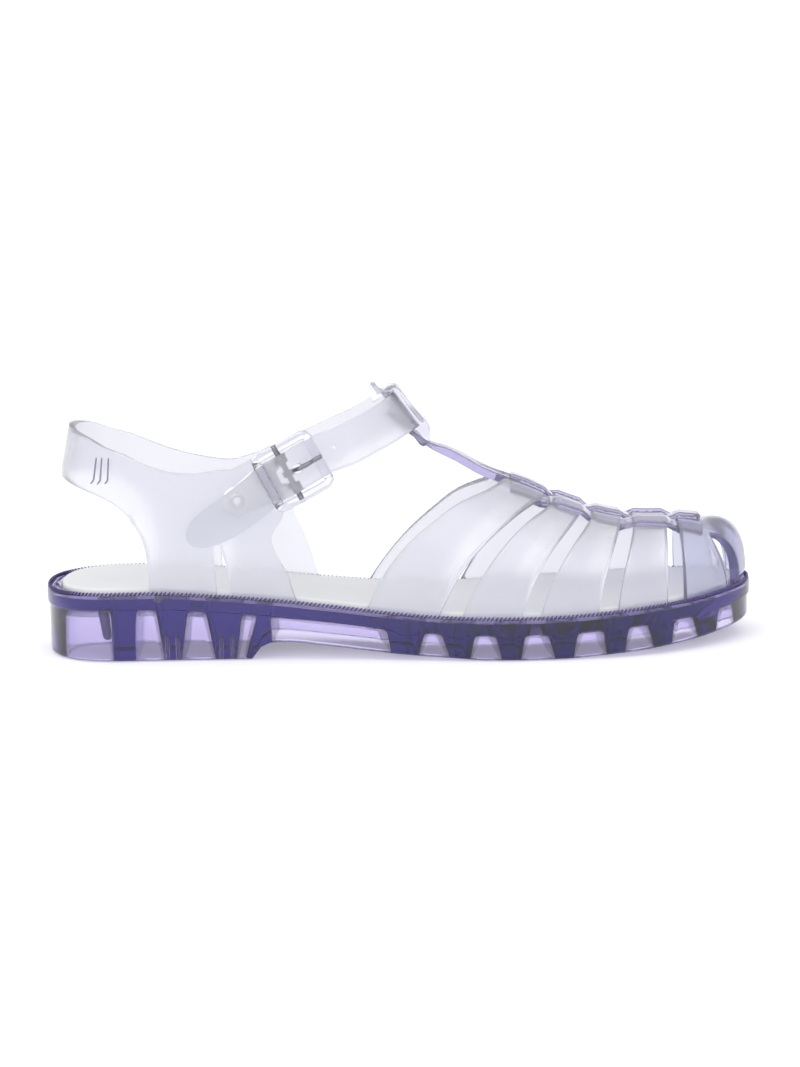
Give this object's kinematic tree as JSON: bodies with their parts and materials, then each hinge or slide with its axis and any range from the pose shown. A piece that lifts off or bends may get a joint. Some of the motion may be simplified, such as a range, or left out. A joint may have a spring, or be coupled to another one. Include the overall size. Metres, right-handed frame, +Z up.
{
  "type": "jelly sandal",
  "caption": "Right-foot fisherman-style jelly sandal of clear moulded PVC: woven vamp straps, T-strap, buckled ankle strap, cushioned insole and a ribbed hollow sole.",
  "frame": {"origin": "on the floor under the middle of the shoe's length and width", "axes": "+X towards the toe, +Y to the medial (inner) side, -Y to the lateral side with the buckle, +Z up"},
  "size_m": [0.2566, 0.0924, 0.0949],
  "materials": {
    "clear_pvc": "clear milky PVC, polished mould surface",
    "lilac_pvc": "clear lilac PVC, dark where it is thick",
    "insole_cloth": "off-white smooth cloth",
    "polished_steel": "bright plated steel"
  },
  "bodies": {
    "root": {"outsole": "lilac_pvc", "insole": "insole_cloth", "upper": "clear_pvc", "buckle_frame": "clear_pvc", "buckle_pin": "polished_steel", "buckle_plate": "polished_steel", "rivet": "polished_steel", "buckle_prong": "polished_steel"}
  },
  "joints": []
}
